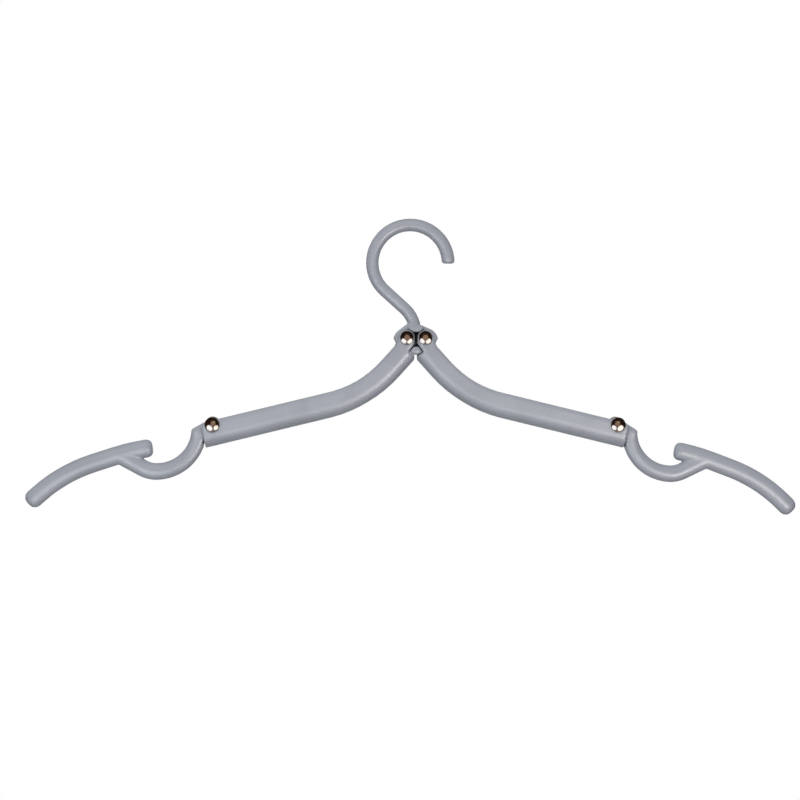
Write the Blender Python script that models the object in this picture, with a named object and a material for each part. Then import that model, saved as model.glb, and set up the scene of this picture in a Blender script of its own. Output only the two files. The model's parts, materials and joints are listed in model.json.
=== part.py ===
"""Folding car hanger: a hook, two channel arms, two strap-notch arms and two-piece rivets.

Lengths are in metres. X runs along the hanger, -Y is its front and Z is up. The origin is the
spot inside the hook's crown that rests on a rail.
"""

import math

import bmesh
import bpy
from mathutils import Matrix, Vector

# Fits
RUNNING_GAP = 0.0003
OVERRUN = 0.003
WELD_REACH = 0.0000005

# Depths, front to back
CHEEK_DEPTH = 0.0120
CHEEK_WALL = 0.0017
WEB_WALL = 0.0020

# Hook: one round bar
HOOK_BAR = 0.0070
STEM_BAR = 0.0065
HOOK_RADIUS = 0.0205
HOOK_BACK_RADIUS = 0.0201
HOOK_SLANT = math.radians(48)
HOOK_SLANT_RUN = 0.0145
HOOK_RETURN_RADIUS = 0.0180
HOOK_TIP_DROP = 0.0003
HOOK_TIP_ROUND = 0.0016
STEM_RUN = 0.0023
STEM_OFFSET = 0.0001

# Hub: the hook's plate between the arms' cheeks
HUB_RIVET_SPACING = 0.00994
HUB_PLATE_RADIUS = 0.00735
HUB_PLATE_LOBE_REACH = 0.0047
HUB_PLATE_LOBE_DROP = 0.0020
HUB_PLATE_FOOT = 0.0068
COLLAR_LEFT_REACH = 0.0043
COLLAR_LEFT_RISE = 0.0076
COLLAR_RIGHT_REACH = 0.0024
COLLAR_RIGHT_RISE = 0.0069
EAR_GAP = 0.00165
APEX_GAP = 0.0003
SHOULDER_WIDTH = 0.0078
SHOULDER_FOOT = 0.0030
SHOULDER_EDGE = 0.0047
SHOULDER_TOP = 0.0084
CORE_WIDTH = 0.0038
CORE_FLOOR = 0.0015
WEDGE_HALF_WIDTH = 0.0035
WEDGE_POINT_RISE = 0.0036
WEDGE_FLANK_ROOM = 0.0009
WEDGE_FLAT_RISE = 0.0050
WEDGE_WIDEST_DROP = 0.0076
WEDGE_BOTTOM_DROP = 0.0095

# Inner arms: channels, open at the top
ARM_HEIGHT = 0.0135
ARM_HEIGHT_AT_HUB = 0.0127
ARM_SLOPE = math.radians(13.62)
ARM_BEND = math.radians(34.38)
ARM_BEND_RADIUS = 0.0650
ARM_BEND_REACH = 0.01366
ARM_BEND_DROP = 0.01685
ARM_HUB_RUN = 0.0240
ARM_NECK_RUN = 0.0137
FOLDED_TIP_TO_HUB = 0.01126543
ELBOW_BELOW_EDGE = 0.0020
ELBOW_EAR_RADIUS = 0.0034
ARM_END_BEYOND_ELBOW = 0.0063
ARM_END_CORNER = 0.0030
RIM_ROUND = 0.0004

# Outer arms: tongue, strap notch and shoulder bar
OUTER_ARM_SET = math.radians(1.4)
LEFT_OUTER_LIFT = math.radians(2.8)
NOTCH_BAR = 0.0090
NOTCH_BAR_AT_ELBOW = 0.0082
NOTCH_RADIUS = 0.0230
NOTCH_START_REACH = 0.0066
NOTCH_START_DROP = 0.0031
NOTCH_EXIT_RADIUS = 0.0151
NOTCH_EXIT_TURN = math.radians(27)
NOTCH_EXIT_RUN = 0.0150
NOTCH_EASE_TURN = math.radians(40)
TONGUE_EYE_RADIUS = 0.0031
TONGUE_CORNER_DROP = 0.0043
TONGUE_EASE = 0.0011
ELBOW_CORNER_RADIUS = 0.0023
PEG_REACH = 0.0316
PEG_DROP = 0.0133
PEG_SLOPE = math.radians(9)
PEG_BEND_RADIUS = 0.1130
PEG_BEND = math.radians(10.3)
PEG_BAR = 0.0096
PEG_ROUND = 0.0030
SHOULDER_RUN = 0.0125
SHOULDER_BAR = 0.0099
SHOULDER_BEND_RADIUS = 0.0810
SHOULDER_BEND = math.radians(24.2)
TIP_RUN = 0.0071
TIP_ROUND = 0.0040

# Rivets: a stud with a post, pressed into a socket
HUB_HEAD_RADIUS = 0.00365
HUB_HEAD_HEIGHT = 0.0018
HUB_DIMPLE_RADIUS = 0.0015
HUB_DIMPLE_DEPTH = 0.00012
ELBOW_HEAD_RADIUS = 0.0040
ELBOW_HEAD_HEIGHT = 0.0021
HEAD_RIM = 0.0004
POST_RADIUS = 0.0008
SOCKET_WALL = 0.0005
SOCKET_SETBACK = 0.0010
POST_SETBACK = 0.0014

# Facets
CHORD_TOLERANCE = 0.000046
CIRCLE_STEPS = 40
BORE_STEPS = 24
HEAD_STEPS = 24
DOME_STEPS = 5
END_STEPS = 3
SECTION_STEPS = 6
SHARP_ANGLE = math.radians(30)
EASE_STEPS = 2
ROUND_POWER = 2
OVAL_POWER = 2.2
SQUARE_POWER = 3.5

# Finishes: colour, roughness, metallic
GREY_PLASTIC = ((0.33, 0.34, 0.38, 1.0), 0.42, 0.0)
BRIGHT_NICKEL = ((0.74, 0.70, 0.66, 1.0), 0.14, 1.0)

# Sizes that follow from the ones above
CHANNEL_DEPTH = CHEEK_DEPTH - 2 * CHEEK_WALL
TONGUE_DEPTH = CHANNEL_DEPTH - 2 * RUNNING_GAP
EAR_RADIUS = (HUB_RIVET_SPACING - EAR_GAP) / 2
SOCKET_RADIUS = POST_RADIUS + RUNNING_GAP + SOCKET_WALL
BORE_RADIUS = SOCKET_RADIUS + RUNNING_GAP


def travel(point, heading, length, turn):
    """The place and heading after a run of that length that turns by an angle, left positive."""
    if turn == 0:
        return point + length * Vector((math.cos(heading), math.sin(heading))), heading
    radius = length / turn
    ahead = heading + turn
    shift = Vector((math.sin(ahead) - math.sin(heading), math.cos(heading) - math.cos(ahead)))
    return point + radius * shift, ahead


def arc(radius, turn):
    return radius * abs(turn), turn


def make_route(start, heading, moves):
    """A centreline in the XZ plane, made of runs of (length, turn)."""
    route = []
    point = Vector(start)
    for length, turn in moves:
        route.append((point, heading, length, turn))
        point, heading = travel(point, heading, length, turn)
    return route


def route_length(route):
    return sum(length for _, _, length, _ in route)


def route_at(route, distance):
    for point, heading, length, turn in route[:-1]:
        if distance <= length:
            return travel(point, heading, distance, turn * distance / length)
        distance -= length
    point, heading, length, turn = route[-1]
    return travel(point, heading, distance, turn * distance / length)


def stations(route, start_round, end_round):
    """Where sections stand along a route, each with its inset from the full section."""
    total = route_length(route)
    marks = [0]
    for _, _, length, turn in route:
        count = 1
        if turn:
            count = math.ceil(abs(turn) / math.sqrt(8 * CHORD_TOLERANCE * abs(turn) / length))
        first = marks[-1]
        marks += [first + length * step / count for step in range(1, count + 1)]
    middle = [mark for mark in marks if start_round < mark < total - end_round]
    head = [(start_round * (1 - math.sin(angle)), start_round * (1 - math.cos(angle)))
            for angle in quarter_turn()]
    tail = [(total - end_round * (1 - math.sin(angle)), end_round * (1 - math.cos(angle)))
            for angle in quarter_turn()]
    if start_round == 0:
        head = [(0, 0)]
    if end_round == 0:
        tail = [(total, 0)]
    return sorted(head) + [(mark, 0) for mark in middle] + sorted(tail)


def quarter_turn():
    return [math.pi / 2 * step / END_STEPS for step in range(END_STEPS + 1)]


def bar_section(height, depth, power):
    """A closed outline of (up, across) points; a higher power squares its shoulders."""
    count = 4 * SECTION_STEPS
    outline = []
    for step in range(count):
        angle = 2 * math.pi * step / count
        up = math.copysign(abs(math.cos(angle)) ** (2 / power), math.cos(angle))
        across = math.copysign(abs(math.sin(angle)) ** (2 / power), math.sin(angle))
        outline.append((up * height / 2, across * depth / 2))
    return outline


def trough_section(low, top, depth, rim):
    """A closed outline with flat sides, a round bottom at low, and edges eased by rim at the top."""
    radius = depth / 2
    outline = [(top, radius - rim), (top, rim - radius), (top - rim, -radius)]
    count = 2 * SECTION_STEPS
    for step in range(count + 1):
        angle = math.pi * step / count
        outline.append((low + radius - radius * math.sin(angle), -radius * math.cos(angle)))
    outline.append((top - rim, radius))
    if rim == 0:
        outline = [(top, radius), (top, -radius)] + outline[3:-1]
    return outline


def new_object(name, bm):
    bmesh.ops.recalc_face_normals(bm, faces=bm.faces)
    mesh = bpy.data.meshes.new(name)
    bm.to_mesh(mesh)
    bm.free()
    obj = bpy.data.objects.new(name, mesh)
    bpy.context.scene.collection.objects.link(obj)
    return obj


def sweep(name, route, section_at, start_round=0, end_round=0):
    """A solid whose section, section_at(share of the route, inset), follows a route."""
    total = route_length(route)
    bm = bmesh.new()
    rings = []
    for distance, inset in stations(route, start_round, end_round):
        point, heading = route_at(route, distance)
        left = Vector((-math.sin(heading), math.cos(heading)))
        ring = []
        for up, across in section_at(distance / total, inset):
            spot = point + up * left
            ring.append(bm.verts.new((spot.x, across, spot.y)))
        rings.append(ring)
    for ring, following in zip(rings, rings[1:]):
        for index in range(len(ring)):
            bm.faces.new((ring[index - 1], ring[index], following[index], following[index - 1]))
    bm.faces.new(rings[0])
    bm.faces.new(rings[-1])
    return new_object(name, bm)


def slab(name, outline, front, back):
    """An outline in the XZ plane, extruded from y = front to y = back."""
    bm = bmesh.new()
    near = [bm.verts.new((x, front, z)) for x, z in outline]
    far = [bm.verts.new((x, back, z)) for x, z in outline]
    bm.faces.new(near)
    bm.faces.new(far)
    for index in range(len(near)):
        bm.faces.new((near[index - 1], near[index], far[index], far[index - 1]))
    return new_object(name, bm)


def centred_slab(name, outline, depth):
    return slab(name, outline, -depth / 2, depth / 2)


def revolve(name, profile):
    """A solid turned about the Y axis from (radius, y) points that start and end on the axis."""
    bm = bmesh.new()
    rings = []
    for radius, y in profile:
        if radius == 0:
            rings.append([bm.verts.new((0, y, 0))] * HEAD_STEPS)
            continue
        ring = []
        for step in range(HEAD_STEPS):
            angle = 2 * math.pi * step / HEAD_STEPS
            ring.append(bm.verts.new((radius * math.cos(angle), y, radius * math.sin(angle))))
        rings.append(ring)
    for ring, following in zip(rings, rings[1:]):
        for index in range(HEAD_STEPS):
            corners = [ring[index - 1], ring[index], following[index], following[index - 1]]
            bm.faces.new(list(dict.fromkeys(corners)))
    return new_object(name, bm)


def circle(centre, radius, steps=CIRCLE_STEPS, start=0.0, turn=2 * math.pi):
    """Points on a circle, or on a stretch of it, anticlockwise as seen from the front."""
    count = steps if turn == 2 * math.pi else steps + 1
    points = []
    for step in range(count):
        angle = start + turn * step / steps
        points.append((centre[0] + radius * math.cos(angle), centre[1] + radius * math.sin(angle)))
    return points


def hull(points):
    """The convex outline round a set of points, anticlockwise."""
    ordered = sorted(set(points))

    def chain(sequence):
        kept = []
        for x, z in sequence:
            while len(kept) > 1:
                (ax, az), (bx, bz) = kept[-2], kept[-1]
                if (bx - ax) * (z - az) - (bz - az) * (x - ax) > 0:
                    break
                kept.pop()
            kept.append((x, z))
        return kept[:-1]

    return chain(ordered) + chain(ordered[::-1])


def grow(outline, gap):
    """An anticlockwise convex outline, moved out by a gap, with its corners kept sharp."""
    grown = []
    for index, corner in enumerate(outline):
        here = Vector(corner)
        before = (here - Vector(outline[index - 1])).normalized()
        after = (Vector(outline[(index + 1) % len(outline)]) - here).normalized()
        out_before = Vector((before.y, -before.x))
        out_after = Vector((after.y, -after.x))
        spread = out_before + out_after
        grown.append(tuple(here + spread * gap / (1 + out_before.dot(out_after))))
    return grown


def combine(base, other, operation):
    """Joins, cuts or keeps the base with another solid, which is used up, and welds its seams."""
    modifier = base.modifiers.new(operation.lower(), "BOOLEAN")
    modifier.operation = operation
    modifier.solver = "EXACT"
    modifier.object = other
    graph = bpy.context.evaluated_depsgraph_get()
    mesh = bpy.data.meshes.new_from_object(base.evaluated_get(graph))
    base.modifiers.clear()
    base.data = mesh
    bm = bmesh.new()
    bm.from_mesh(mesh)
    bmesh.ops.remove_doubles(bm, verts=bm.verts, dist=WELD_REACH)
    bm.to_mesh(mesh)
    bm.free()
    bpy.data.objects.remove(other)


def bore(base, centre, depth):
    outline = circle(centre, BORE_RADIUS, BORE_STEPS)
    combine(base, centred_slab("bore", outline, depth + OVERRUN), "DIFFERENCE")


def ease_rim(slab_object, width):
    """Rounds the edges of a slab's two faces."""
    bm = bmesh.new()
    bm.from_mesh(slab_object.data)
    rim = [edge for edge in bm.edges if edge.verts[0].co.y == edge.verts[1].co.y]
    bmesh.ops.bevel(bm, geom=rim, offset=width, segments=EASE_STEPS, profile=0.5, affect="EDGES")
    bm.to_mesh(slab_object.data)
    bm.free()


def finish_piece(obj, finish):
    colour, roughness, metallic = finish
    material = bpy.data.materials.new(obj.name)
    material.use_nodes = True
    shader = material.node_tree.nodes["Principled BSDF"]
    shader.inputs["Base Color"].default_value = colour
    shader.inputs["Roughness"].default_value = roughness
    shader.inputs["Metallic"].default_value = metallic
    obj.data.materials.clear()
    obj.data.materials.append(material)
    obj.data.shade_smooth()
    obj.data.set_sharp_from_angle(angle=SHARP_ANGLE)


def hook_route():
    """The bar's centreline from its tip, over the crown and down its back to the hub's rivet line."""
    crown_centre = HOOK_BAR / 2 - HOOK_RADIUS
    start = (HOOK_RADIUS, crown_centre - HOOK_TIP_DROP)
    moves = [
        (HOOK_TIP_DROP, 0),
        arc(HOOK_RADIUS, math.pi),
        arc(HOOK_BACK_RADIUS, HOOK_SLANT),
        (HOOK_SLANT_RUN, 0),
        arc(HOOK_RETURN_RADIUS, -HOOK_SLANT),
        (STEM_RUN, 0),
    ]
    return make_route(start, math.pi / 2, moves)


def hub_centre():
    route = hook_route()
    foot, _ = route_at(route, route_length(route))
    return Vector((foot.x + STEM_OFFSET, 0, foot.y))


def wedge_outline(top_half_width, top_drop):
    """The stop under the rivets, from its top edge round its sides to its point."""
    outline = [(0, -WEDGE_BOTTOM_DROP), (WEDGE_HALF_WIDTH, -WEDGE_WIDEST_DROP)]
    if top_half_width:
        outline += [(top_half_width, -top_drop), (-top_half_width, -top_drop)]
    else:
        outline += [(0, -top_drop)]
    return outline + [(-WEDGE_HALF_WIDTH, -WEDGE_WIDEST_DROP)]


def plate_outline():
    """The hub plate: a round lobe behind each ear, drawn up to the stem, flat under the rivets."""
    low = -math.asin((HUB_PLATE_FOOT - HUB_PLATE_LOBE_DROP) / HUB_PLATE_RADIUS)
    centre = (HUB_PLATE_LOBE_REACH, -HUB_PLATE_LOBE_DROP)
    right = circle(centre, HUB_PLATE_RADIUS, CIRCLE_STEPS // 2, low, math.pi / 2 - low)
    collar = [(-COLLAR_LEFT_REACH, COLLAR_LEFT_RISE), (COLLAR_RIGHT_REACH, COLLAR_RIGHT_RISE)]
    return hull(right + [(-x, z) for x, z in right] + collar)


def tip_room():
    """What the right-hand outer arm's tip sweeps past the hub plate as it folds over its elbow."""
    reach = tip_reach() + RUNNING_GAP
    elbow = elbow_pivot()
    spread = 2 * HUB_PLATE_RADIUS / reach
    start = math.atan2(-elbow.y, -elbow.x) - spread
    return [tuple(elbow)] + circle(elbow, reach, CIRCLE_STEPS, start, 2 * spread)


def make_shoulder():
    """The full-depth block over the ears, whose two faces slope back to the stem."""
    half = CHEEK_DEPTH / 2
    profile = [(half, SHOULDER_FOOT), (half, SHOULDER_EDGE), (STEM_BAR / 2, SHOULDER_TOP)]
    profile += [(-y, z) for y, z in reversed(profile)]
    shoulder = centred_slab("shoulder", profile, SHOULDER_WIDTH)
    shoulder.data.transform(Matrix.Rotation(math.pi / 2, 4, "Z"))
    limit = grow(plate_outline(), -RIM_ROUND)
    combine(shoulder, centred_slab("limit", limit, CHEEK_DEPTH + OVERRUN), "INTERSECT")
    for side in (-1, 1):
        ear = circle((side * HUB_RIVET_SPACING / 2, 0), EAR_RADIUS + RUNNING_GAP)
        combine(shoulder, centred_slab("ear_room", ear, CHEEK_DEPTH + OVERRUN), "DIFFERENCE")
    return shoulder


def make_hook():
    centre = hub_centre()

    def round_bar(share, inset):
        girth = HOOK_BAR + (STEM_BAR - HOOK_BAR) * share - 2 * inset
        return bar_section(girth, girth, ROUND_POWER)

    hook = sweep("hook", hook_route(), round_bar, start_round=HOOK_TIP_ROUND)
    hook.data.transform(Matrix.Translation(-centre))
    pivot = HUB_RIVET_SPACING / 2
    plate = centred_slab("plate", plate_outline(), TONGUE_DEPTH)
    for side in (-1, 1):
        room = [(side * x, z) for x, z in tip_room()]
        combine(plate, centred_slab("tip_room", room, CHEEK_DEPTH), "DIFFERENCE")
    combine(hook, plate, "UNION")
    combine(hook, make_shoulder(), "UNION")
    flat_share = (WEDGE_FLAT_RISE - WEDGE_POINT_RISE) / (WEDGE_WIDEST_DROP - WEDGE_POINT_RISE)
    wedge = wedge_outline(WEDGE_HALF_WIDTH * flat_share, WEDGE_FLAT_RISE)
    combine(hook, centred_slab("wedge", wedge, CHEEK_DEPTH), "UNION")
    core_top = SHOULDER_FOOT - RUNNING_GAP
    core_foot = RUNNING_GAP - WEDGE_FLAT_RISE
    core = [(CORE_WIDTH / 2, core_foot), (CORE_WIDTH / 2, core_top)]
    core += [(-x, z) for x, z in reversed(core)]
    combine(hook, slab("core", core, -CHEEK_DEPTH, TONGUE_DEPTH / 2 - CORE_FLOOR), "DIFFERENCE")
    for side in (-1, 1):
        bore(hook, (side * pivot, 0), CHEEK_DEPTH)
    hook.data.transform(Matrix.Translation(centre))
    return hook


def arm_route(hub_extra, end_extra):
    """The channel's mid-height line from beyond the hub to beyond the elbow, from the hub's centre."""
    hub_slope = ARM_SLOPE + ARM_BEND
    back = Vector((-math.cos(hub_slope), math.sin(hub_slope)))
    start = Vector((ARM_BEND_REACH, -ARM_BEND_DROP)) + back * (ARM_HUB_RUN + hub_extra)
    straight = (elbow_pivot() - bend_end()).dot(Vector(in_elbow_frame(1, 0)))
    moves = [
        (ARM_HUB_RUN + hub_extra, 0),
        arc(ARM_BEND_RADIUS, ARM_BEND),
        (straight + ARM_END_BEYOND_ELBOW + end_extra, 0),
    ]
    return make_route(start, -hub_slope, moves)


def bend_end():
    """Where the arm's mid-height line runs straight again, from the hub's centre."""
    start = Vector((ARM_BEND_REACH, -ARM_BEND_DROP))
    point, _ = travel(start, -ARM_SLOPE - ARM_BEND, *arc(ARM_BEND_RADIUS, ARM_BEND))
    return point


def elbow_pivot():
    """The elbow rivet's place, from the hub's centre: a set depth under the arm's top edge, and as
    far out as the outer arm needs to fold back without its tip reaching the hub."""
    middle = bend_end()
    fall = math.tan(ARM_SLOPE)
    level = middle.y + middle.x * fall + (ARM_HEIGHT / 2 - ELBOW_BELOW_EDGE) / math.cos(ARM_SLOPE)
    distance = tip_reach() + FOLDED_TIP_TO_HUB
    nearest = level * math.sin(ARM_SLOPE)
    aside = level * math.cos(ARM_SLOPE)
    reach = (nearest + math.sqrt(distance ** 2 - aside ** 2)) * math.cos(ARM_SLOPE)
    return Vector((reach, level - reach * fall))


def arm_height(route, share):
    """The arm is a little lower as far as the middle of its bend, and gains over the second half."""
    gain_run = route[1][2] / 2
    past_middle = share * route_length(route) - route[0][2] - gain_run
    return ARM_HEIGHT_AT_HUB + (ARM_HEIGHT - ARM_HEIGHT_AT_HUB) * min(1, max(0, past_middle / gain_run))


def neck_point(route):
    """Where the ear's straight flank runs into the arm's eased top edge."""
    point, heading = route_at(route, ARM_NECK_RUN)
    rise = ARM_HEIGHT_AT_HUB / 2 - RIM_ROUND / 2
    return point + rise * Vector((-math.sin(heading), math.cos(heading)))


def arm_outline(route, pivot, elbow):
    """The arm's silhouette at both ends: ear and neck at the hub, eased corner at the elbow."""
    far = elbow.x + CHEEK_DEPTH
    neck = neck_point(route)
    from_pivot = neck - Vector((pivot, 0))
    tangent = math.atan2(from_pivot.y, from_pivot.x) + math.acos(EAR_RADIUS / from_pivot.length)
    ear = circle((pivot, 0), EAR_RADIUS, CIRCLE_STEPS, tangent, math.pi - tangent)
    along = ARM_END_BEYOND_ELBOW - ARM_END_CORNER
    below = ARM_END_CORNER - ELBOW_BELOW_EDGE
    end = [(ARM_END_BEYOND_ELBOW, ARM_HEIGHT + OVERRUN)]
    end += [(x, -z) for x, z in circle((along, -below), ARM_END_CORNER, SECTION_STEPS, 0, math.pi / 2)]
    end.append((along, -ARM_HEIGHT))
    corners = [tuple(elbow + Vector(in_elbow_frame(x, z))) for x, z in end]
    return [(APEX_GAP / 2, -far)] + corners + [tuple(neck)] + ear


def make_inner_arm():
    """The right-hand channel arm, from the hub's centre."""
    pivot = HUB_RIVET_SPACING / 2
    elbow = elbow_pivot()
    route = arm_route(0, OVERRUN)

    def outside(share, inset):
        height = arm_height(route, share)
        return trough_section(-height / 2, height / 2, CHEEK_DEPTH, RIM_ROUND)

    arm = sweep("inner_arm", route, outside)
    start, heading = route_at(route, 0)
    up = ARM_HEIGHT * Vector((-math.sin(heading), math.cos(heading)))
    stop, _ = route_at(route, ARM_NECK_RUN - RIM_ROUND / 2)
    block = [tuple(corner) for corner in (start, stop, stop + up, start + up)]
    combine(arm, centred_slab("ear_block", block, CHEEK_DEPTH), "UNION")
    combine(arm, centred_slab("elbow_ear", circle(elbow, ELBOW_EAR_RADIUS, BORE_STEPS), CHEEK_DEPTH), "UNION")
    outline = arm_outline(route, pivot, elbow)
    combine(arm, centred_slab("outline", outline, CHEEK_DEPTH + OVERRUN), "INTERSECT")

    channel_route = arm_route(OVERRUN, 2 * OVERRUN)

    def inside(share, inset):
        low = WEB_WALL - arm_height(channel_route, share) / 2
        return trough_section(low, ARM_HEIGHT, CHANNEL_DEPTH, 0)

    combine(arm, sweep("channel", channel_route, inside), "DIFFERENCE")
    notch = grow(wedge_outline(0, WEDGE_POINT_RISE - WEDGE_FLANK_ROOM), RUNNING_GAP)
    combine(arm, centred_slab("wedge_notch", notch, CHEEK_DEPTH + OVERRUN), "DIFFERENCE")
    bore(arm, (pivot, 0), CHEEK_DEPTH)
    bore(arm, elbow, CHEEK_DEPTH)
    arm.data.transform(Matrix.Translation((-pivot, 0, 0)))
    return arm


def in_elbow_frame(along, below):
    """A place set out along the arm's axis and square below it, from the elbow pivot."""
    outward = Vector((math.cos(ARM_SLOPE), -math.sin(ARM_SLOPE)))
    downward = Vector((-math.sin(ARM_SLOPE), -math.cos(ARM_SLOPE)))
    return tuple(along * outward + below * downward)


def channel_clearance(face, far):
    """The end of the inner arm's channel, grown by the running gap, as far along as its face."""
    middle_below = ARM_HEIGHT / 2 - ELBOW_BELOW_EDGE
    route = make_route(in_elbow_frame(-far, middle_below), -ARM_SLOPE, [(far + face, 0)])
    trough = trough_section(WEB_WALL + RUNNING_GAP - ARM_HEIGHT / 2, ARM_HEIGHT, TONGUE_DEPTH, 0)
    walls = [(-ARM_HEIGHT, CHEEK_DEPTH), (-ARM_HEIGHT, -CHEEK_DEPTH), (ARM_HEIGHT, -CHEEK_DEPTH)]
    walls.append((ARM_HEIGHT, CHEEK_DEPTH))
    section = trough[1:] + trough[:1] + walls[-1:] + walls[:-1]
    return sweep("channel_clearance", route, lambda share, inset: section)


def shoulder_route():
    """The shoulder bar's centreline from its peg end to its tip, from the elbow pivot."""
    moves = [
        arc(PEG_BEND_RADIUS, -PEG_BEND),
        (SHOULDER_RUN, 0),
        arc(SHOULDER_BEND_RADIUS, -SHOULDER_BEND),
        (TIP_RUN, 0),
    ]
    return make_route((PEG_REACH, -PEG_DROP), -PEG_SLOPE, moves)


def tip_reach():
    """How far the outermost corner of the shoulder bar's tip is from the elbow pivot."""
    route = shoulder_route()
    end, heading = route_at(route, route_length(route) - TIP_ROUND)
    corner = end + (SHOULDER_BAR / 2 - TIP_ROUND) * Vector((-math.sin(heading), math.cos(heading)))
    return corner.length + TIP_ROUND


def make_outer_arm():
    """The right-hand outer arm as it rests on its stop, from the elbow pivot."""
    notch_moves = [
        arc(NOTCH_RADIUS, math.pi / 2),
        arc(NOTCH_EXIT_RADIUS, NOTCH_EXIT_TURN),
        (NOTCH_EXIT_RUN, 0),
    ]
    notch_route = make_route((NOTCH_START_REACH, -NOTCH_START_DROP), -math.pi / 2, notch_moves)
    notch_length = route_length(notch_route)

    def notch_bar(share, inset):
        turned = share * notch_length / NOTCH_RADIUS
        power = OVAL_POWER + (SQUARE_POWER - OVAL_POWER) * max(0, 1 - turned / NOTCH_EASE_TURN)
        thinner = (NOTCH_BAR - NOTCH_BAR_AT_ELBOW) * max(0, 1 - turned / (math.pi / 2))
        section = bar_section(NOTCH_BAR - thinner, TONGUE_DEPTH, power)
        return [(up + thinner / 2, across) for up, across in section]

    arm = sweep("outer_arm", notch_route, notch_bar)
    corner_reach = NOTCH_START_REACH + NOTCH_BAR / 2 - ELBOW_CORNER_RADIUS
    root_reach = NOTCH_START_REACH - NOTCH_BAR / 2 + ELBOW_CORNER_RADIUS
    tongue = circle((0, 0), TONGUE_EYE_RADIUS, CIRCLE_STEPS)
    tongue += circle((corner_reach, -TONGUE_CORNER_DROP), ELBOW_CORNER_RADIUS, BORE_STEPS)
    root_drop = TONGUE_CORNER_DROP + ELBOW_CORNER_RADIUS
    tongue += circle((root_reach, -root_drop), ELBOW_CORNER_RADIUS, BORE_STEPS)
    tongue_slab = centred_slab("tongue", hull(tongue), TONGUE_DEPTH)
    ease_rim(tongue_slab, TONGUE_EASE)
    combine(arm, tongue_slab, "UNION")
    set_down = Matrix.Rotation(OUTER_ARM_SET, 4, "Y")
    arm.data.transform(set_down)
    combine(arm, channel_clearance(ARM_END_BEYOND_ELBOW + RUNNING_GAP, 2 * CHEEK_DEPTH), "DIFFERENCE")

    bar_route = shoulder_route()
    peg_share = bar_route[0][2] / route_length(bar_route)

    def shoulder_bar(share, inset):
        height = PEG_BAR + (SHOULDER_BAR - PEG_BAR) * min(1, share / peg_share)
        return bar_section(height - 2 * inset, TONGUE_DEPTH - 2 * inset, OVAL_POWER)

    shoulder = sweep("shoulder_bar", bar_route, shoulder_bar, PEG_ROUND, TIP_ROUND)
    shoulder.data.transform(set_down)
    combine(arm, shoulder, "UNION")
    bore(arm, (0, 0), TONGUE_DEPTH)
    return arm


def dome(radius, height, seat):
    """Half of a domed head's profile, from its crown out to the rim that faces the cheek."""
    rise = height - HEAD_RIM
    sphere = (radius * radius + rise * rise) / (2 * rise)
    spread = math.asin(radius / sphere)
    points = []
    for step in range(DOME_STEPS + 1):
        angle = spread * step / DOME_STEPS
        points.append((sphere * math.sin(angle), -(seat + height) + sphere * (1 - math.cos(angle))))
    return points + [(radius, -seat)]


def dimpled(profile):
    """Sinks the middle of a domed head by a shallow dimple with a round lip."""
    crown = profile[0][1]
    lip = [point for point in profile if point[0] > HUB_DIMPLE_RADIUS]
    sunk = [(0, crown + HUB_DIMPLE_DEPTH)]
    for step in range(1, END_STEPS + 1):
        share = step / END_STEPS
        sunk.append((HUB_DIMPLE_RADIUS * share, crown + HUB_DIMPLE_DEPTH * math.cos(share * math.pi / 2) ** 2))
    return sunk + lip


def make_rivet(name, head_radius, head_height, with_dimple):
    """A stud from the front and its socket from the back, about the Y axis."""
    seat = CHEEK_DEPTH / 2 + RUNNING_GAP
    head = dome(head_radius, head_height, seat)
    if with_dimple:
        head = dimpled(head)
    post_end = seat - POST_SETBACK
    post = [(POST_RADIUS, -seat), (POST_RADIUS, post_end), (0, post_end)]
    stud = revolve(name + "_stud", head + post)

    mouth = SOCKET_SETBACK - seat
    floor = post_end + RUNNING_GAP
    socket = [(radius, -y) for radius, y in head]
    socket += [(SOCKET_RADIUS, seat), (SOCKET_RADIUS, mouth)]
    socket += [(POST_RADIUS + RUNNING_GAP, mouth), (POST_RADIUS + RUNNING_GAP, floor), (0, floor)]
    return [stud, revolve(name + "_socket", socket)]


def mirror_left(obj):
    """Turns a right-hand piece into its left-hand twin."""
    obj.data.transform(Matrix.Scale(-1, 4, (1, 0, 0)))
    obj.data.flip_normals()


def place(obj, name, parent, offset, finish):
    """Names a piece, hangs it on its parent and gives it its finish."""
    obj.name = name
    obj.parent = parent
    obj.location = offset
    finish_piece(obj, finish)


def build_side(hook, name, side):
    pivot = Vector((side * HUB_RIVET_SPACING / 2, 0, 0))
    elbow = elbow_pivot()
    to_elbow = Vector((side * elbow.x, 0, elbow.y)) - pivot
    inner_arm = make_inner_arm()
    outer_arm = make_outer_arm()
    if side < 0:
        mirror_left(inner_arm)
        mirror_left(outer_arm)
        outer_arm.data.transform(Matrix.Rotation(LEFT_OUTER_LIFT, 4, "Y"))
    place(inner_arm, name + "_inner_arm", hook, hub_centre() + pivot, GREY_PLASTIC)
    place(outer_arm, name + "_outer_arm", inner_arm, to_elbow, GREY_PLASTIC)
    hub_rivet = make_rivet(name + "_hub_rivet", HUB_HEAD_RADIUS, HUB_HEAD_HEIGHT, True)
    for piece in hub_rivet:
        place(piece, piece.name, inner_arm, Vector(), BRIGHT_NICKEL)
    elbow_rivet = make_rivet(name + "_elbow_rivet", ELBOW_HEAD_RADIUS, ELBOW_HEAD_HEIGHT, False)
    for piece in elbow_rivet:
        place(piece, piece.name, inner_arm, to_elbow, BRIGHT_NICKEL)


def build():
    for obj in list(bpy.data.objects):
        bpy.data.objects.remove(obj)
    hook = make_hook()
    finish_piece(hook, GREY_PLASTIC)
    build_side(hook, "left", -1)
    build_side(hook, "right", 1)


build()
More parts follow.
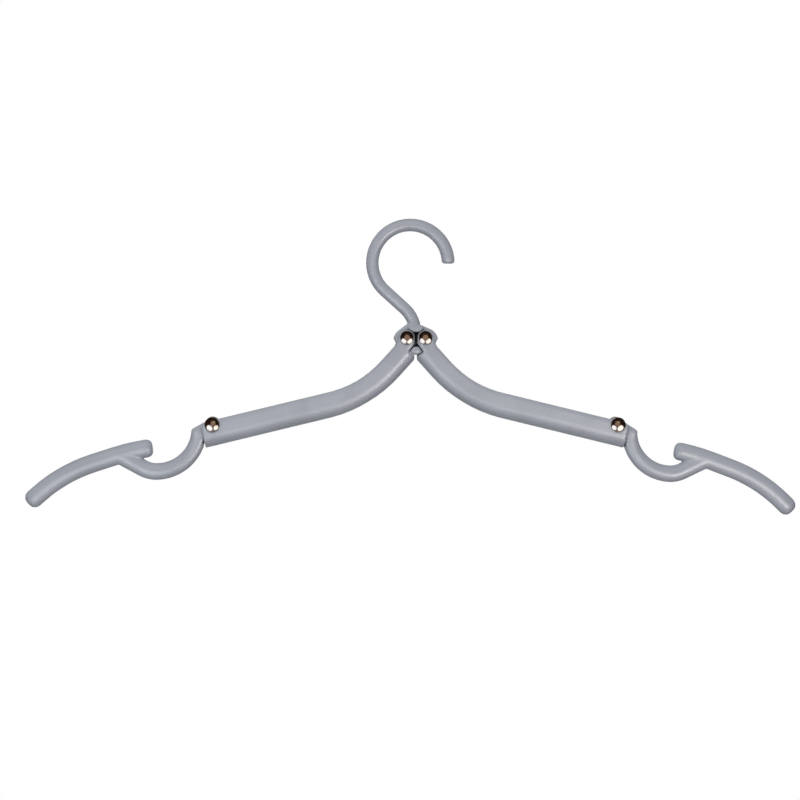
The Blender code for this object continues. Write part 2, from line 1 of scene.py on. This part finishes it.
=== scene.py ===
"""The looks of a folding car hanger: its moulded plastic, its rivets, and the studio round it.

Lengths are in metres. X runs along the hanger, -Y is its front and Z is up.
"""

import json
import math

import bmesh
import bpy
import numpy as np
from mathutils import Matrix, Vector


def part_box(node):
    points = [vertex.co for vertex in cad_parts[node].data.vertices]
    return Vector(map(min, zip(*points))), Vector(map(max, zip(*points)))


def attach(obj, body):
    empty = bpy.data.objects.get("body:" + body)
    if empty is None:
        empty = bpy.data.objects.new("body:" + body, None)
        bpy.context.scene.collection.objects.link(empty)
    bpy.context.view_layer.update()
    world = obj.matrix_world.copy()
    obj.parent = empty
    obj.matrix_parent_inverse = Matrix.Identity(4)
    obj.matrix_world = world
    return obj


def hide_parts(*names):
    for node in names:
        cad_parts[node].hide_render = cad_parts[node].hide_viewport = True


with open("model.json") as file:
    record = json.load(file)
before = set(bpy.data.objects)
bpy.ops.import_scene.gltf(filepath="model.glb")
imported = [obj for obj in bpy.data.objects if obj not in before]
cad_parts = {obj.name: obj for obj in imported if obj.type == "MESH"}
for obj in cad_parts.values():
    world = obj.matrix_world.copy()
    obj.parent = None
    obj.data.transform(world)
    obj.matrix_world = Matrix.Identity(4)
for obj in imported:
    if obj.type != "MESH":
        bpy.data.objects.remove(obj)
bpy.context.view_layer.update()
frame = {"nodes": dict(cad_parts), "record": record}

# Plastic pieces: a CAD solid remeshed finely enough for its edges to round over
VOXEL = 0.00032
SMOOTHING_SHARE = 0.5
SMOOTHING_PASSES = 5
NORMAL_PASSES = 22
SEAM_HEIGHT = 0.00007
SEAM_HALF_WIDTH = 0.00045
SEAM_FACING = 0.5

# Plastic surface. A tint is a share of its grey, and a scale is a noise's, in cycles a metre
GREY = (0.322, 0.342, 0.384)
PATCH_SCALE = 38.0
PATCH_TINTS = (0.965, 1.035)
PATCH_GLOSS = (0.32, 0.37)
PATCH_DEPTH = 0.00003
GRAIN_SCALE = 1100.0
GRAIN_SHARE = 0.20
GRAIN_TINT = 1.16
FINE_SCALE = 5200.0
FINE_DEPTH = 0.000001
SCUFF_SCALE = 420.0
SCUFF_DULLING = 0.07
RIDGE = (0.53, 0.60)
RIDGE_SHARE = 0.45
RIDGE_TINT = 1.45
RIDGE_DULLING = 0.25
# Painted shade: the plastic is darker in concave corners, found by pointiness
CORNER_SHADE = (0.47, 0.40)
CORNER_SHADE_SHARE = 0.35
CORNER_SHADE_TINT = 0.55
# Painted shade: the plastic goes near-black in crevices and gaps, found by ambient occlusion
CREVICE_SHADE = (0.62, 0.32)
CREVICE_SHADE_REACH = 0.005
CREVICE_SHADE_TINT = 0.06
CREVICE_SHADE_SAMPLES = 8

# Nickel surface
NICKEL = (0.74, 0.70, 0.66)
TARNISH_SCALE = 700.0
TARNISH_TINT = 0.72
TARNISH_DEPTH = 0.00006
SCRATCH_SCALE = 3500.0
SCRATCH_GLOSS = (0.07, 0.20)

# Rivets
REVOLVE_STEPS = 96
DOME_STEPS = 18
LIP_STEPS = 8
RIM_STEPS = 5
RUNNING_GAP = 0.0003
HEAD_RIM = 0.0004
RIM_ROUND = 0.00018
DIMPLE_SHARE = 0.41
DIMPLE_DEPTH = 0.00012
DIMPLE_MARGIN = 1.05
POST_RADIUS = 0.0008
SOCKET_WALL = 0.0005
ON_AXIS = 1e-9
CREASE_ANGLE = math.radians(40)

# Picture: where the middle of the hub falls in the photograph, and its scale
PICTURE_SIZE = 800
METRES_PER_PIXEL = 0.00054
HUB_PIXEL = (415.6, 337.6)
CAMERA_YAW = math.radians(2.9)
PICTURE_ROLL = math.radians(0.12)
CAMERA_DISTANCE = 1.3

# Floor, which fades to white between two shares of its radius
FLOOR_DROP = 0.85
FLOOR_RADIUS = 1.6
FLOOR_SIDES = 96
FLOOR_FADE = (0.45, 0.95)
FLOOR_GRAIN_SCALE = 12.0
FLOOR_TINTS = ((0.84, 0.84, 0.84), (0.88, 0.88, 0.88))

# Light from all round, and lamps: name, place, size, power, colour
WHITE = (1.0, 1.0, 1.0)
WORLD_LIGHT = (0.40, 0.40, 0.42)
LAMPS = (
    ("key", (-0.35, -1.55, 1.35), (1.8, 1.2), 31.5, (1.0, 0.99, 0.97)),
    ("low_right", (0.9, -1.2, -0.6), (0.7, 0.5), 0.8, (1.0, 0.97, 0.94)),
    ("low_left", (-0.9, -1.2, -0.6), (0.7, 0.5), 0.8, (0.86, 0.93, 1.0)),
    ("back", (0.3, 2.0, 0.9), (1.6, 1.2), 16.0, WHITE),
)

# Lamps for the plastic's gloss: name, direction from the hub, size, power, colour
GLINT_DISTANCE = 1.0
GLINTS = (
    ("glint_right", (0.36, -0.88, -0.32), (0.30, 0.30), 6.6, (1.0, 0.97, 0.94)),
    ("glint_left", (-0.30, -0.90, -0.32), (0.30, 0.30), 6.0, (0.84, 0.93, 1.0)),
    ("glint_top", (-0.10, -0.90, 0.42), (0.30, 0.12), 0.5, (0.92, 0.96, 1.0)),
)

# Painted reflections on a glowing shell that only the gloss sees: direction, half angles in degrees
# where a patch starts and is full, colour
SHELL_RADIUS = 0.75
SHELL_HOLE = math.radians(28)
SHELL_BASE = (0.022, 0.012, 0.008)
SHELL_PATCHES = (
    ((0.02, -1.00, 0.12), 34, 18, (0.30, 0.190, 0.135)),
    ((0.30, -0.86, 0.42), 15, 6, (0.46, 0.37, 0.29)),
    ((-0.22, -0.80, 0.55), 10, 4, (0.26, 0.17, 0.12)),
    ((0.0, -0.15, -1.0), 40, 26, (0.20, 0.18, 0.18)),
    ((0.54, -0.56, -0.62), 32, 22, (1.7, 1.52, 1.40)),
    ((-0.54, -0.56, -0.62), 32, 22, (1.4, 1.40, 1.45)),
    ((0.0, -0.62, -0.78), 8, 4, (0.05, 0.035, 0.03)),
)

PLASTIC_NODES = ("hook", "left_inner_arm", "right_inner_arm", "left_outer_arm", "right_outer_arm")
RIVETS = ("left_hub_rivet", "right_hub_rivet", "left_elbow_rivet", "right_elbow_rivet")


def middle(box):
    low, high = box
    return (low + high) / 2


def link(obj):
    bpy.context.scene.collection.objects.link(obj)
    return obj


# Node trees


class Nodes:
    """A node tree that starts empty. Calling it adds a node and joins or sets its inputs."""

    def __init__(self, owner):
        owner.use_nodes = True
        self.tree = owner.node_tree
        self.tree.nodes.clear()

    def __call__(self, kind, inputs=None, **settings):
        node = self.tree.nodes.new("ShaderNode" + kind)
        for key, value in settings.items():
            setattr(node, key, value)
        for key, value in (inputs or {}).items():
            if isinstance(value, bpy.types.NodeSocket):
                self.tree.links.new(value, node.inputs[key])
            else:
                node.inputs[key].default_value = value
        return node

    def math(self, operation, first, second=0.0):
        return self("Math", {0: first, 1: second}, operation=operation).outputs[0]

    def remap(self, value, low, high, to_low, to_high):
        """Eases a value from one range to another. Outside its range it stays at the end it passed."""
        limits = {"Value": value, "From Min": low, "From Max": high, "To Min": to_low, "To Max": to_high}
        return self("MapRange", limits, interpolation_type="SMOOTHSTEP").outputs[0]

    def mix(self, share, first, second):
        node = self("Mix", data_type="RGBA")
        for socket, value in zip((node.inputs[0], node.inputs[6], node.inputs[7]), (share, first, second)):
            if isinstance(value, bpy.types.NodeSocket):
                self.tree.links.new(value, socket)
            else:
                socket.default_value = value if isinstance(value, float) else (*value, 1.0)
        return node.outputs[2]

    def noise(self, where, scale, detail=2.0, distortion=0.0):
        inputs = {"Vector": where, "Scale": scale, "Detail": detail, "Distortion": distortion}
        return self("TexNoise", inputs).outputs["Fac"]


def scaled(colour, factor):
    return tuple(channel * factor for channel in colour)


# Materials


def moulded_plastic():
    """Semi-gloss grey plastic: flow patches, grain, scuffed ridges, and painted shade in concave corners
    and crevices.
    """
    material = bpy.data.materials.new("moulded_grey_plastic")
    nodes = Nodes(material)
    where = nodes("TexCoord").outputs["Object"]
    pointiness = nodes("NewGeometry").outputs["Pointiness"]
    patches = nodes.noise(where, PATCH_SCALE, detail=3.0, distortion=0.6)
    grain = nodes.noise(where, GRAIN_SCALE, detail=4.0)
    fine = nodes.noise(where, FINE_SCALE)
    scuffs = nodes.noise(where, SCUFF_SCALE, detail=5.0, distortion=1.4)

    patch_share = nodes.remap(patches, 0.35, 0.65, 0.0, 1.0)
    tint = nodes.mix(patch_share, *(scaled(GREY, factor) for factor in PATCH_TINTS))
    tint = nodes.mix(nodes.remap(grain, 0.30, 0.70, 0.0, GRAIN_SHARE), tint, scaled(GREY, GRAIN_TINT))
    ridge = nodes.remap(pointiness, *RIDGE, 0.0, 1.0)
    worn = nodes.math("MULTIPLY", ridge, nodes.remap(scuffs, 0.42, 0.62, 0.0, RIDGE_SHARE))
    tint = nodes.mix(worn, tint, scaled(GREY, RIDGE_TINT))
    # Painted shade darkens the concave corners
    corner_shade = nodes.remap(pointiness, *CORNER_SHADE, 0.0, CORNER_SHADE_SHARE)
    tint = nodes.mix(corner_shade, tint, scaled(GREY, CORNER_SHADE_TINT))
    # Painted shade blackens the crevices and gaps that occlusion finds
    openness = nodes("AmbientOcclusion", {"Distance": CREVICE_SHADE_REACH}, samples=CREVICE_SHADE_SAMPLES)
    crevice_shade = nodes.remap(openness.outputs["AO"], *CREVICE_SHADE, 0.0, 1.0)
    tint = nodes.mix(crevice_shade, tint, scaled(GREY, CREVICE_SHADE_TINT))

    gloss = nodes.remap(patches, 0.30, 0.70, *PATCH_GLOSS)
    gloss = nodes.math("ADD", gloss, nodes.math("MULTIPLY", worn, RIDGE_DULLING))
    gloss = nodes.math("ADD", gloss, nodes.remap(scuffs, 0.55, 0.72, 0.0, SCUFF_DULLING))

    bump = nodes("Bump", {"Height": patches, "Distance": PATCH_DEPTH, "Strength": 1.0}).outputs[0]
    finer = {"Height": fine, "Distance": FINE_DEPTH, "Strength": 1.0, "Normal": bump}
    bump = nodes("Bump", finer).outputs[0]
    shader = nodes("BsdfPrincipled", {"Base Color": tint, "Roughness": gloss, "Normal": bump})
    nodes("OutputMaterial", {"Surface": shader.outputs[0]})
    return material


def bright_nickel():
    """Polished nickel with faint tarnish and fine scratches."""
    material = bpy.data.materials.new("polished_nickel")
    nodes = Nodes(material)
    where = nodes("TexCoord").outputs["Object"]
    tarnish = nodes.noise(where, TARNISH_SCALE, detail=4.0, distortion=0.8)
    scratches = nodes.noise(where, SCRATCH_SCALE, detail=3.0, distortion=2.0)
    tarnished = nodes.remap(tarnish, 0.45, 0.70, 0.0, 1.0)
    tint = nodes.mix(tarnished, NICKEL, scaled(NICKEL, TARNISH_TINT))
    gloss = nodes.remap(scratches, 0.40, 0.75, *SCRATCH_GLOSS)
    bump = nodes("Bump", {"Height": tarnish, "Distance": TARNISH_DEPTH, "Strength": 1.0}).outputs[0]
    inputs = {"Base Color": tint, "Metallic": 1.0, "Roughness": gloss, "Normal": bump}
    nodes("OutputMaterial", {"Surface": nodes("BsdfPrincipled", inputs).outputs[0]})
    return material


# Pieces


def finished(obj, material, node):
    """Gives a piece its material, in place of the CAD node it stands for."""
    obj.data.materials.clear()
    obj.data.materials.append(material)
    bodies = frame["record"]["behaviour"]["bodies"]
    body = next(name for name, members in bodies.items() if node in members)
    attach(obj, body)
    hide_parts(node)


def moulding(node, material):
    """A plastic piece: its CAD solid with eased edges, a soft gloss and a fine seam down its middle."""
    mesh = frame["nodes"][node].data.copy()
    obj = link(bpy.data.objects.new("moulded_" + node, mesh))
    remesh = obj.modifiers.new("remesh", "REMESH")
    remesh.mode = "VOXEL"
    remesh.voxel_size = VOXEL
    smooth = obj.modifiers.new("smooth", "SMOOTH")
    smooth.factor = SMOOTHING_SHARE
    smooth.iterations = SMOOTHING_PASSES
    graph = bpy.context.evaluated_depsgraph_get()
    obj.data = bpy.data.meshes.new_from_object(obj.evaluated_get(graph))
    obj.modifiers.clear()
    plain = vertex_normals(obj.data)
    raise_seam(obj.data)
    shading = softened(obj.data, plain) + vertex_normals(obj.data) - plain
    obj.data.shade_smooth()
    obj.data.normals_split_custom_set_from_vertices(shading)
    finished(obj, material, node)
    return obj


def vertex_normals(mesh):
    """The vertices' normals, a row each."""
    normals = np.empty(len(mesh.vertices) * 3)
    mesh.vertices.foreach_get("normal", normals)
    return normals.reshape(-1, 3)


def softened(mesh, normals):
    """The normals averaged with their neighbours', so that a solid's facets don't break up the gloss."""
    edges = np.empty(len(mesh.edges) * 2, dtype=np.int32)
    mesh.edges.foreach_get("vertices", edges)
    ends = edges.reshape(-1, 2)
    here = np.concatenate((ends[:, 0], ends[:, 1]))
    there = np.concatenate((ends[:, 1], ends[:, 0]))
    for _ in range(NORMAL_PASSES):
        sums = [np.bincount(here, normals[there, axis], len(normals)) for axis in range(3)]
        normals = normals + np.stack(sums, axis=1)
        normals /= np.linalg.norm(normals, axis=1, keepdims=True)
    return normals


def raise_seam(mesh):
    """The thin ridge that the two halves of the mould leave along the piece's middle plane."""
    places = np.empty(len(mesh.vertices) * 3)
    mesh.vertices.foreach_get("co", places)
    places = places.reshape(-1, 3)
    normals = vertex_normals(mesh)
    across = np.abs(places[:, 1]) / SEAM_HALF_WIDTH
    rise = SEAM_HEIGHT * np.clip(1 - across, 0, 1) * (np.abs(normals[:, 1]) < SEAM_FACING)
    in_plane = normals * (1, 0, 1)
    places += in_plane * rise[:, None]
    mesh.vertices.foreach_set("co", places.ravel())
    mesh.update()


def dome(radius, height):
    """Half of a domed head's profile, from its crown to its seat: (radius, height) points."""
    rise = height - HEAD_RIM
    sphere = (radius * radius + rise * rise) / (2 * rise)
    spread = math.asin(radius / sphere)
    points = []
    for step in range(DOME_STEPS + 1):
        angle = spread * step / DOME_STEPS
        points.append((sphere * math.sin(angle), height - sphere * (1 - math.cos(angle))))
    return eased(points + [(radius, 0.0)], RIM_ROUND)


def eased(points, radius):
    """Rounds the corner before a profile's last point."""
    before, corner_shade, after = (Vector(point) for point in points[-3:])
    start = corner_shade + (before - corner_shade).normalized() * radius
    end = corner_shade + (after - corner_shade).normalized() * radius
    eased_points = points[:-2]
    for step in range(RIM_STEPS + 1):
        share = step / RIM_STEPS
        spot = start * (1 - share) ** 2 + corner_shade * 2 * share * (1 - share) + end * share ** 2
        eased_points.append(tuple(spot))
    return eased_points + [points[-1]]


def dimpled(profile, radius):
    """Sinks the middle of a domed head by a shallow dimple with a round lip."""
    crown = profile[0][1]
    lip = radius * DIMPLE_SHARE
    sunk = []
    for step in range(LIP_STEPS + 1):
        share = step / LIP_STEPS
        sunk.append((lip * share, crown - DIMPLE_DEPTH * math.cos(share * math.pi / 2) ** 2))
    return sunk + [point for point in profile if point[0] > lip * DIMPLE_MARGIN]


def revolved(name, profile, centre, side):
    """A solid turned about the Y axis through a centre.

    side is -1 for a profile that rises to the front, and 1 for one that rises to the back.
    """
    bm = bmesh.new()
    rings = []
    for radius, height in profile:
        if radius < ON_AXIS:
            rings.append([bm.verts.new((centre.x, side * height, centre.z))] * REVOLVE_STEPS)
            continue
        ring = []
        for step in range(REVOLVE_STEPS):
            angle = 2 * math.pi * step / REVOLVE_STEPS
            x = centre.x + radius * math.cos(angle)
            z = centre.z + radius * math.sin(angle)
            ring.append(bm.verts.new((x, side * height, z)))
        rings.append(ring)
    for ring, following in zip(rings, rings[1:]):
        for index in range(REVOLVE_STEPS):
            corners = [ring[index - 1], ring[index], following[index], following[index - 1]]
            bm.faces.new(list(dict.fromkeys(corners)))
    bmesh.ops.recalc_face_normals(bm, faces=bm.faces)
    mesh = bpy.data.meshes.new(name)
    bm.to_mesh(mesh)
    bm.free()
    mesh.shade_smooth()
    mesh.set_sharp_from_angle(angle=CREASE_ANGLE)
    return link(bpy.data.objects.new(name, mesh))


def rivet(name, material):
    """A rivet's front half with its post, and its rear half with the hole that takes the post."""
    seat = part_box("left_inner_arm")[1].y + RUNNING_GAP
    for half, side in (("_stud", -1), ("_socket", 1)):
        low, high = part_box(name + half)
        centre = middle((low, high))
        radius = (high.x - low.x) / 2
        height = max(-low.y, high.y) - seat
        inner_end = high.y if side < 0 else -low.y
        head = dome(radius, height)
        if "hub" in name:
            head = dimpled(head, radius)
        profile = [(r, seat + h) for r, h in head]
        if side < 0:
            profile += [(POST_RADIUS, seat), (POST_RADIUS, -inner_end), (0.0, -inner_end)]
        else:
            hole = POST_RADIUS + RUNNING_GAP
            tube = hole + SOCKET_WALL
            floor = seat - HEAD_RIM
            profile += [(tube, seat), (tube, -inner_end), (hole, -inner_end), (hole, floor), (0.0, floor)]
        piece = revolved("nickel_" + name + half, profile, centre, side)
        finished(piece, material, name + half)


# Studio


def aim(obj, target):
    obj.rotation_euler = (Vector(target) - obj.location).to_track_quat("-Z", "Y").to_euler()


def add_camera(hub):
    """A little to the left, where the photograph was taken, with the hub where the photograph has it."""
    camera = link(bpy.data.objects.new("camera", bpy.data.cameras.new("camera")))
    turn = Matrix.Rotation(-CAMERA_YAW, 4, "Z") @ Matrix.Rotation(-PICTURE_ROLL, 4, "Y")
    camera.location = hub + turn @ Vector((0, -CAMERA_DISTANCE, 0))
    camera.rotation_euler = (turn @ Matrix.Rotation(math.pi / 2, 4, "X")).to_euler()
    camera.data.lens = camera.data.sensor_width * CAMERA_DISTANCE / (PICTURE_SIZE * METRES_PER_PIXEL)
    camera.data.shift_x = 0.5 - HUB_PIXEL[0] / PICTURE_SIZE
    camera.data.shift_y = HUB_PIXEL[1] / PICTURE_SIZE - 0.5
    bpy.context.scene.camera = camera


def add_lamp(name, place, size, power, colour, target):
    """A soft box. Its reflection is painted on the glowing reflection shell."""
    data = bpy.data.lights.new(name, "AREA")
    data.shape = "RECTANGLE"
    data.size, data.size_y = size
    data.energy = power
    data.color = colour
    lamp = link(bpy.data.objects.new(name, data))
    lamp.location = place
    lamp.visible_glossy = False
    lamp.visible_camera = False
    aim(lamp, target)
    return lamp


def add_glint(name, towards, size, power, colour, hub, receivers):
    """A soft box that only the plastic's gloss picks up."""
    place = hub + Vector(towards).normalized() * GLINT_DISTANCE
    lamp = add_lamp(name, place, size, power, colour, hub)
    lamp.visible_glossy = True
    lamp.visible_diffuse = False
    lamp.light_linking.receiver_collection = receivers


def seen_rays(nodes):
    """1 for rays that show the background: from the camera, a gloss or through glass."""
    rays = nodes("LightPath")
    share = rays.outputs["Is Camera Ray"]
    for kind in ("Is Glossy Ray", "Is Transmission Ray"):
        share = nodes.math("MAXIMUM", share, rays.outputs[kind])
    return share


def light_world():
    """White where it is seen, and a plain grey as light."""
    world = bpy.data.worlds.new("studio")
    bpy.context.scene.world = world
    nodes = Nodes(world)
    colour = nodes.mix(seen_rays(nodes), WORLD_LIGHT, WHITE)
    background = nodes("Background", {"Color": colour, "Strength": 1.0})
    nodes("OutputWorld", {"Surface": background.outputs[0]})


def add_floor(hub):
    """A pale round floor that fades to white at its edge."""
    bm = bmesh.new()
    bmesh.ops.create_circle(bm, cap_ends=True, segments=FLOOR_SIDES, radius=FLOOR_RADIUS)
    mesh = bpy.data.meshes.new("floor")
    bm.to_mesh(mesh)
    bm.free()
    floor = link(bpy.data.objects.new("floor", mesh))
    floor.location = (hub.x, 0, hub.z - FLOOR_DROP)
    material = bpy.data.materials.new("pale_floor")
    nodes = Nodes(material)
    where = nodes("TexCoord").outputs["Object"]
    distance = nodes("VectorMath", {0: where}, operation="LENGTH").outputs["Value"]
    fade_start, fade_end = (FLOOR_RADIUS * share for share in FLOOR_FADE)
    edge = nodes.remap(distance, fade_start, fade_end, 0.0, 1.0)
    seen = nodes.math("MULTIPLY", edge, seen_rays(nodes))
    grain = nodes.noise(where, FLOOR_GRAIN_SCALE, detail=3.0)
    tint = nodes.mix(grain, *FLOOR_TINTS)
    pale = nodes("BsdfDiffuse", {"Color": tint})
    white = nodes("Emission", {"Color": (*WHITE, 1.0), "Strength": 1.0})
    shader = nodes("MixShader", {0: seen, 1: pale.outputs[0], 2: white.outputs[0]})
    nodes("OutputMaterial", {"Surface": shader.outputs[0]})
    mesh.materials.append(material)


def add_reflection_shell(hub):
    """A glowing shell that only the gloss sees, with painted reflections of a dim brown room, two paler
    spots, two low soft boxes and a table.
    """
    bm = bmesh.new()
    bmesh.ops.create_uvsphere(bm, u_segments=64, v_segments=32, radius=SHELL_RADIUS)
    behind = [face for face in bm.faces
              if face.calc_center_median().angle(Vector((0, 1, 0))) < SHELL_HOLE]
    bmesh.ops.delete(bm, geom=behind, context="FACES")
    mesh = bpy.data.meshes.new("painted_reflection_shell")
    bm.to_mesh(mesh)
    bm.free()
    shell = link(bpy.data.objects.new("painted_reflection_shell", mesh))
    shell.location = hub
    for ray in ("camera", "diffuse", "transmission", "volume_scatter", "shadow"):
        setattr(shell, "visible_" + ray, False)
    material = bpy.data.materials.new("painted_reflections")
    nodes = Nodes(material)
    where = nodes("TexCoord").outputs["Object"]
    direction = nodes("VectorMath", {0: where}, operation="NORMALIZE").outputs[0]
    colour = SHELL_BASE
    for towards, start, full, tint in SHELL_PATCHES:
        axis = Vector(towards).normalized()
        facing = nodes("VectorMath", {0: direction, 1: axis}, operation="DOT_PRODUCT").outputs["Value"]
        low, high = math.cos(math.radians(start)), math.cos(math.radians(full))
        colour = nodes.mix(nodes.remap(facing, low, high, 0.0, 1.0), colour, tint)
    # The shell's glow is painted reflection, not a lamp
    glow = nodes("Emission", {"Color": colour, "Strength": 1.0})
    nodes("OutputMaterial", {"Surface": glow.outputs[0]})
    mesh.materials.append(material)


def build():
    bpy.context.scene.view_settings.view_transform = "Standard"
    plastic = moulded_plastic()
    nickel = bright_nickel()
    glossy = bpy.data.collections.new("glossy_plastic")
    for node in PLASTIC_NODES:
        glossy.objects.link(moulding(node, plastic))
    for name in RIVETS:
        rivet(name, nickel)

    left = middle(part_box("left_hub_rivet_stud"))
    right = middle(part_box("right_hub_rivet_stud"))
    hub = (left + right) / 2
    hub.y = 0
    add_camera(hub)
    light_world()
    add_floor(hub)
    add_reflection_shell(hub)
    for lamp in LAMPS:
        add_lamp(*lamp, hub)
    for glint in GLINTS:
        add_glint(*glint, hub, glossy)


build()
